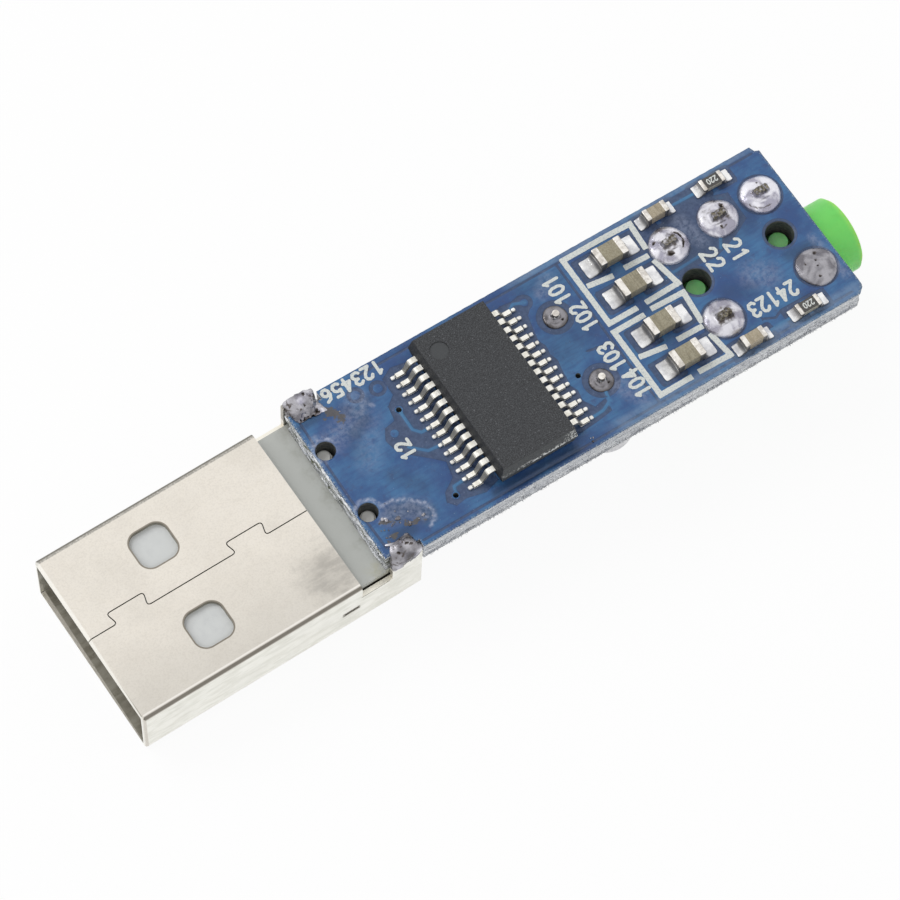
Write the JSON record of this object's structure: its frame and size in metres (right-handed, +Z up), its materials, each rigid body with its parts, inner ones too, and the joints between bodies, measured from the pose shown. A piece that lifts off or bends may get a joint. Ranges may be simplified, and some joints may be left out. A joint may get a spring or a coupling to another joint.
{
  "type": "usb dac board",
  "caption": "Bare USB audio adapter: a folded steel plug, a narrow blue circuit board with a gull-wing chip, and a headphone jack under its far end.",
  "frame": {"origin": "under the middle of the whole part, on the plane of the jack housing's underside", "axes": "+X from the plug towards the jack, +Z up out of the board's chip side"},
  "size_m": [0.0542, 0.0124, 0.0098],
  "materials": {
    "board": "blue solder mask over glass-fibre board, rough sawn edges",
    "shell": "plain warm satin sheet",
    "insert": "light grey moulding",
    "contact": "thin gold plate",
    "solder": "mottled hand-made solder",
    "jack": "bright green moulding",
    "tinned": "tinned strip",
    "chip": "fine matt black moulding",
    "cap": "khaki ceramic with tinned ends",
    "small_cap": "light tan ceramic with tinned ends",
    "resistor": "black glaze over white ceramic with tinned ends",
    "can": "drawn nickel-plated can"
  },
  "bodies": {
    "root": {"circuit_board": "board", "usb_shell": "shell", "usb_insulator": "insert", "usb_contact_1": "contact", "usb_contact_2": "contact", "usb_contact_3": "contact", "usb_contact_4": "contact", "contact_solder": "solder", "tab_solder_far": "solder", "tab_solder_near": "solder", "jack_housing": "jack", "jack_terminal_1": "tinned", "jack_terminal_2": "tinned", "jack_terminal_3": "tinned", "jack_terminal_4": "tinned", "jack_terminal_5": "tinned", "jack_joint_1": "solder", "jack_joint_2": "solder", "jack_joint_3": "solder", "jack_joint_4": "solder", "jack_joint_5": "solder", "chip_body": "chip", "chip_leads": "tinned", "chip_solder": "solder", "output_cap_1": "cap", "output_cap_2": "cap", "output_cap_3": "cap", "output_cap_4": "cap", "filter_cap_1": "small_cap", "filter_cap_2": "small_cap", "output_resistor_1": "resistor", "output_resistor_2": "resistor", "top_pads": "solder", "crystal_can": "can", "crystal_base": "can", "crystal_lead_1": "tinned", "crystal_lead_2": "tinned", "crystal_joint_1": "solder", "crystal_joint_2": "solder", "lower_resistor_1": "resistor", "lower_resistor_2": "resistor", "lower_resistor_3": "resistor", "lower_resistor_4": "resistor", "lower_resistor_5": "resistor", "lower_resistor_6": "resistor", "lower_cap_1": "small_cap", "lower_cap_2": "small_cap", "lower_cap_3": "small_cap", "lower_cap_4": "small_cap", "lower_cap_5": "small_cap", "lower_cap_6": "small_cap", "lower_cap_7": "small_cap", "lower_cap_8": "small_cap", "lower_pads": "solder"}
  },
  "joints": []
}
